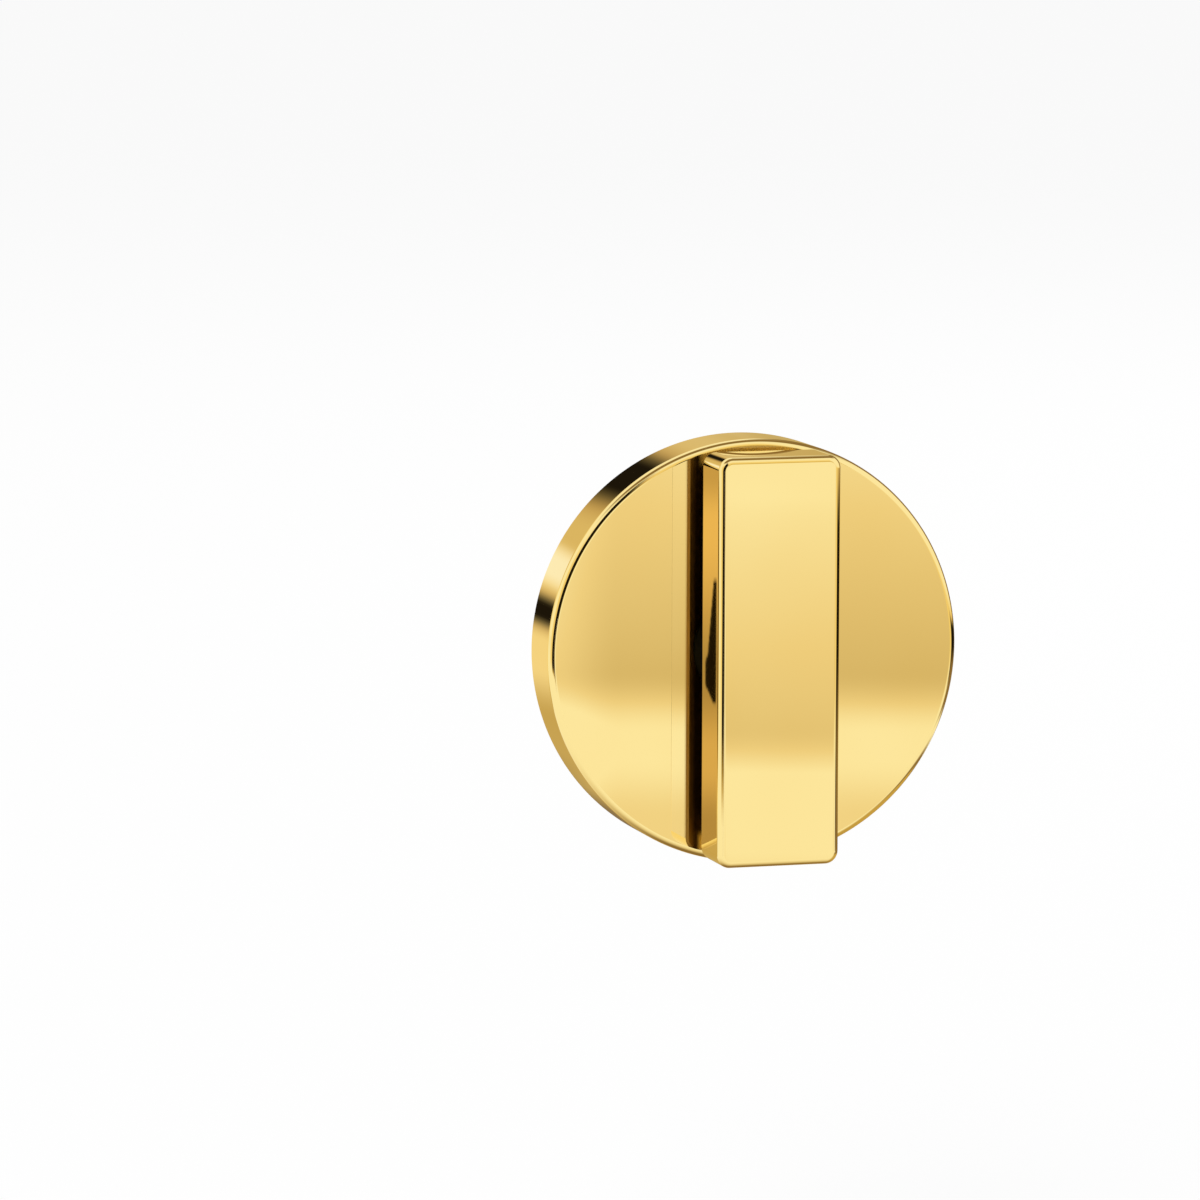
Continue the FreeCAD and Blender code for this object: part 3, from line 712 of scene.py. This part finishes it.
def side_tone(azimuth, elevation):
    """The narrow strip that the bar's side mirrors: cool where the rose shows that side again, warm and
    dim where it is seen itself, with a dark leaf along its edge."""
    rose = blended(warmth(elevation), WHITE_CARD, SAND_CARD, TAN_CARD)
    again = [tone / metal for tone, metal in zip(rose, SIDE_METAL)]
    dim = 0.46 + 0.40 * soft_step(elevation, -8.4, -4.2) + 0.26 * soft_step(-elevation, 8.6, 10.4)
    dim -= 0.26 * soft_step(elevation, -3.9, -2.6) + 0.24 * soft_step(-elevation, 10.9, 12.4)
    itself = [dim * tone for tone in SIDE_WARMTH]
    stem = 0.21 * min(1.0, max(0.0, (-5.5 - elevation) / 2.1)) * (1 - soft_step(-elevation, 8.6, 9.15))
    belly = 0.095 * inside(elevation, -8.45, -7.95, 0.35)
    leaf = inside(azimuth, -18.6, -18.52 + stem + belly, 0.015) * soft_step(stem, 0.0, 0.02)
    itself = blended(leaf, itself, BLACK_CARD)
    fringe = blended(soft_step(azimuth, -17.95, -17.85), itself, BROWN_CARD)
    return (*blended(soft_step(azimuth, -17.68, -17.55), fringe, again), inside(azimuth, -18.8, -16.9, 0.1))


card("side_strip", side_tone, azimuths=(-18.9, -16.8), elevations=(-13.2, -1.0), steps=(84, 122))


def edge_tone(azimuth, elevation):
    """Part of a white and dark ring round the way in which the faces mirror the camera: it draws a line
    along the rounded edges on the left, with a bright one beside it."""
    left, up = FACE_AZIMUTH - azimuth, elevation - FACE_ELEVATION
    away = math.hypot(left, up)
    bearing = math.degrees(math.atan2(up, left))
    part = inside(bearing, -12.0, 48.0, 14.0) * soft_step(elevation, -12.0, -10.6)
    if away < 24.0:
        return (*WHITE_CARD, inside(away, 8.0, 22.0, 2.0) * part)
    *tone, cover = dark(inside(away, 28.0, 66.0, 4.0) * part)
    return (*blended(soft_step(elevation, -11.4, -9.2), OCHRE_CARD, tone), cover)


card("edge_flag", edge_tone, azimuths=(-54, 14), elevations=(-12, 50), steps=(136, 124), distance=0.365)


def top_tone(azimuth, elevation):
    """A brown band overhead, across the way in which the faces mirror the camera, for the line along the
    rounded top edges."""
    a, e, face = (math.radians(angle) for angle in (azimuth - FACE_AZIMUTH, elevation, FACE_ELEVATION))
    away = math.degrees(math.acos(math.cos(a) * math.cos(e) * math.cos(face) + math.sin(e) * math.sin(face)))
    return (*BROWN_CARD, inside(away, 74.0, 104.0, 8.0) * soft_step(elevation, 40.0, 58.0))


card("top_flag", top_tone, azimuths=(-180, 179.99), elevations=(38, 89.5), steps=(120, 52))


def lintel_tone(azimuth, elevation):
    """Above the front card: ochre, for the bar's upper end."""
    return (*OCHRE_CARD, inside(azimuth, 11.0, 23.0, 3.0) * inside(elevation, 4.6, 10.0, 1.6))


card("lintel", lintel_tone, azimuths=(7, 27), elevations=(2.5, 12.5), steps=(40, 20))


def right_tone(azimuth, elevation):
    """On the right, for the line along the rounded right edges."""
    return dark(inside(azimuth, 53.0, 122.0, 6.0) * inside(elevation, -11.6, -4.2, 3.4))


card("right_flag", right_tone, azimuths=(46, 128), elevations=(-15.0, 0.0), steps=(82, 30))


def upper_rear_tone(azimuth, elevation):
    """Behind and above, for the dark patch on the rim's upper left."""
    return dark(inside(azimuth, 179.5, 186.0, 10.0) * inside(elevation, 18.5, 24.0, 5.0))


card("upper_rear_flag", upper_rear_tone, azimuths=(169, 196), elevations=(13, 29), steps=(54, 32))


def level_rear_tone(azimuth, elevation):
    """Behind on the level, for the dark patch on the rim's left."""
    return dark(inside(azimuth, 198.0, 206.0, 4.0) * inside(elevation, -0.8, 1.2, 4.4))


card("level_rear_flag", level_rear_tone, azimuths=(194, 210), elevations=(-6, 6), steps=(32, 24),
     distance=0.355)


def rear_light_tone(azimuth, elevation):
    """Between those two flags, for the bright patch between the dark ones."""
    return (*WHITE_CARD, inside(azimuth, 196.0, 204.0, 5.0) * inside(elevation, 7.2, 9.4, 3.4))


card("rear_light", rear_light_tone, azimuths=(190, 210), elevations=(3.5, 13), steps=(40, 19))


def rear_tone(azimuth, elevation):
    """Behind the part: amber, with ochre to the right."""
    amber = soft_step(azimuth, 160.0, 168.0) * (1 - 0.6 * inside(elevation, 13.0, 22.0, 3.0))
    cover = inside(azimuth, 158.0, 225.0, 6.0) * (1 - soft_step(elevation, 22.0, 34.0))
    return (*blended(amber, OCHRE_CARD, AMBER_CARD), cover)


card("rear_card", rear_tone, azimuths=(150, 235), elevations=(-12.5, 34), steps=(85, 47), distance=0.37)


def foot_tone(azimuth, elevation):
    """Low behind the part, between it and the floor: ochre on the left, brown on the right."""
    low = blended(soft_step(azimuth, 178.0, 190.0), BROWN_CARD, OCHRE_CARD)
    amber = soft_step(azimuth, 125.0, 160.0) * (1 - soft_step(-elevation, 10.0, 18.0))
    down_to_floor = inside(azimuth, 172.0, 206.0, 12.0)
    cover = soft_step(-elevation, 7.0, 12.0) * (1 - soft_step(-elevation, 18.5, 23.0) * (1 - down_to_floor))
    return (*blended(amber, low, AMBER_CARD), inside(azimuth, 68.0, 225.0, 15.0) * cover)


card("foot_card", foot_tone, azimuths=(53, 240), elevations=(-23, -7), steps=(187, 32), distance=0.2)


def room_tone(azimuth, elevation):
    """All round: amber up to head height, pale in front on the right, brown and higher behind that, with a
    window of white on the left."""
    right = inside(azimuth, 105.0, 150.0, 8.0)
    pale = inside(azimuth, 26.0, 92.0, 8.0) * soft_step(elevation, -3.0, 4.0)
    top = 20.0 + 28.0 * right
    cover = soft_step(elevation, -11.5, -7.0) * (1 - soft_step(elevation, top, top + 22.0))
    cover *= 1 - inside(azimuth, -125.0, -80.0, 10.0)
    return (*blended(right, blended(pale, AMBER_CARD, WHITE_CARD), BROWN_CARD), cover)


card("room_card", room_tone, azimuths=(-180, 179.99), elevations=(-11.5, 70), steps=(180, 82), distance=0.4)


def under_tone(azimuth, elevation):
    """Below the part: brown, and paler towards the sides."""
    azimuth = azimuth % 360.0
    rear = inside(azimuth, 50.0, 215.0, 20.0)
    shade = rear * (1 - soft_step(azimuth, 180.0, 192.0)) * (1 - soft_step(-elevation, 32.0, 35.0))
    tone = blended(soft_step(elevation, -78.0, -46.0), BROWN_CARD, OCHRE_CARD)
    front_cover = 1 - soft_step(elevation, -80.0, -30.0)
    rear_cover = 1 - soft_step(elevation, -31.0, -24.0)
    return (*blended(shade, tone, BROWN_CARD), front_cover + (rear_cover - front_cover) * rear)


card("under_card", under_tone, azimuths=(182, 541.99), elevations=(-89.5, -24), steps=(90, 66), distance=0.08)


# Camera: a long lens a little left of the part and above it, as in the photograph. It is turned by an
# azimuth, an elevation and a slight roll, in degrees.
CAMERA_SPOT = (-0.23963, -0.76341, 0.10947)
CAMERA_AZIMUTH = 16.238
CAMERA_ELEVATION = 7.423
CAMERA_ROLL = 0.160
LENS_LENGTH = 196.99
SENSOR_WIDTH = 36.0
NEAREST = 0.01

camera_data = bpy.data.cameras.new("camera")
camera_data.sensor_width = SENSOR_WIDTH
camera_data.lens = LENS_LENGTH
camera_data.clip_start = NEAREST
camera = bpy.data.objects.new("camera", camera_data)
bpy.context.scene.collection.objects.link(camera)
bpy.context.scene.camera = camera
azimuth, elevation, roll = (math.radians(angle) for angle in (CAMERA_AZIMUTH, CAMERA_ELEVATION, CAMERA_ROLL))
back = Vector((-math.sin(azimuth) * math.cos(elevation), -math.cos(azimuth) * math.cos(elevation),
               math.sin(elevation)))
level_right = Vector((math.cos(azimuth), -math.sin(azimuth), 0))
level_up = back.cross(level_right)
right = math.cos(roll) * level_right + math.sin(roll) * level_up
up = math.cos(roll) * level_up - math.sin(roll) * level_right
camera.matrix_world = Matrix((right, up, back)).transposed().to_4x4()
camera.location = CAMERA_SPOT

bpy.context.scene.view_settings.view_transform = "Standard"
